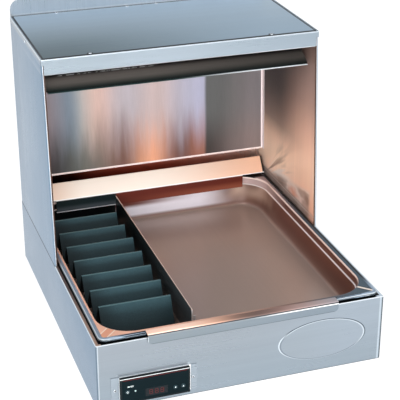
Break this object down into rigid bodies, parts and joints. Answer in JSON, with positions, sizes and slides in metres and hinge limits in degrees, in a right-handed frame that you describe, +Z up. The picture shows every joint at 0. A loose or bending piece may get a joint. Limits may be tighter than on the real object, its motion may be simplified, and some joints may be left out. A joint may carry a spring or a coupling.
{
  "type": "chip warmer",
  "caption": "Countertop heated holding station for chips: base with a lift-out pan, open-front hood with a strip heater, bag rack and divider.",
  "frame": {"origin": "middle of the footprint, on the counter", "axes": "+X to the operator's right, +Y to the back, +Z up; the open front faces -Y"},
  "size_m": [0.536, 0.6306, 0.559],
  "materials": {
    "outer_steel": "brushed",
    "inner_steel": "bright, lightly brushed",
    "hidden_steel": "mill",
    "pan_steel": "bright",
    "divider_steel": "bright",
    "rack_coating": "satin dark coating",
    "reflector_aluminium": "satin, heat-tinted",
    "heater_sheath": "oxidised",
    "ceramic": "glazed",
    "plate_aluminium": "mill",
    "blanket_silicone": "matte",
    "insulation": "matte",
    "bezel_plastic": "satin",
    "overlay_film": "glossy",
    "readout_lens": "glossy",
    "button_plastic": "satin",
    "lamp_lens": "glossy",
    "board_laminate": "satin",
    "terminal_plastic": "satin",
    "wire_sleeve": "matte",
    "gland_plastic": "satin",
    "screw_steel": "bright"
  },
  "bodies": {
    "housing": {"base_wrapper": "outer_steel", "base_back_panel": "outer_steel", "base_bottom_panel": "hidden_steel", "rear_ledge": "inner_steel", "well_frame": "hidden_steel", "heat_plate": "plate_aluminium", "blanket_element": "blanket_silicone", "insulation_pad": "insulation", "insulation_tray": "hidden_steel", "right_side_panel": "outer_steel", "left_side_panel": "outer_steel", "right_liner": "inner_steel", "left_liner": "inner_steel", "side_cap_rails": "outer_steel", "inner_back_wall": "inner_steel", "ceiling_liner": "inner_steel", "header_strip": "outer_steel", "top_panel": "outer_steel", "back_panel": "outer_steel", "heater_reflector": "reflector_aluminium", "reflector_end_plates": "inner_steel", "heater_rod": "heater_sheath", "rod_insulators": "ceramic", "control_bezel": "bezel_plastic", "control_plate": "outer_steel", "control_overlay": "overlay_film", "readout_window": "readout_lens", "control_board": "board_laminate", "indicator_lamp": "lamp_lens", "board_standoffs": "terminal_plastic", "power_board": "board_laminate", "terminal_block": "terminal_plastic", "cord_gland": "gland_plastic", "base_wires": "wire_sleeve", "heater_leads": "wire_sleeve", "limit_thermostat": "plate_aluminium", "temperature_sensor": "screw_steel", "roof_screws": "screw_steel", "cap_screws": "screw_steel", "control_screws": "screw_steel", "back_screws": "screw_steel"},
    "pan": {"pan": "pan_steel"},
    "rear_ramp": {"rear_ramp": "inner_steel"},
    "divider": {"divider": "divider_steel"},
    "bag_rack": {"bag_rack": "rack_coating"},
    "power_button": {"power_button": "button_plastic"},
    "down_button": {"down_button": "button_plastic"},
    "up_button": {"up_button": "button_plastic"}
  },
  "joints": [
    {"name": "pan_lift", "type": "slide", "parent": "housing", "child": "pan", "axis": [0, 0, 1], "range_m": [0, 0.075]},
    {"name": "ramp_lift", "type": "slide", "parent": "pan", "child": "rear_ramp", "axis": [0, 0, 1], "range_m": [0, 0.04]},
    {"name": "divider_lift", "type": "slide", "parent": "pan", "child": "divider", "axis": [0, 0, 1], "range_m": [0, 0.075]},
    {"name": "rack_lift", "type": "slide", "parent": "pan", "child": "bag_rack", "axis": [0, 0, 1], "range_m": [0, 0.06]},
    {"name": "power_press", "type": "slide", "parent": "housing", "child": "power_button", "axis": [0, 1, 0], "range_m": [0, 0.0007], "stiffness_N_per_m": 300},
    {"name": "down_press", "type": "slide", "parent": "housing", "child": "down_button", "axis": [0, 1, 0], "range_m": [0, 0.0007], "stiffness_N_per_m": 300},
    {"name": "up_press", "type": "slide", "parent": "housing", "child": "up_button", "axis": [0, 1, 0], "range_m": [0, 0.0007], "stiffness_N_per_m": 300}
  ]
}
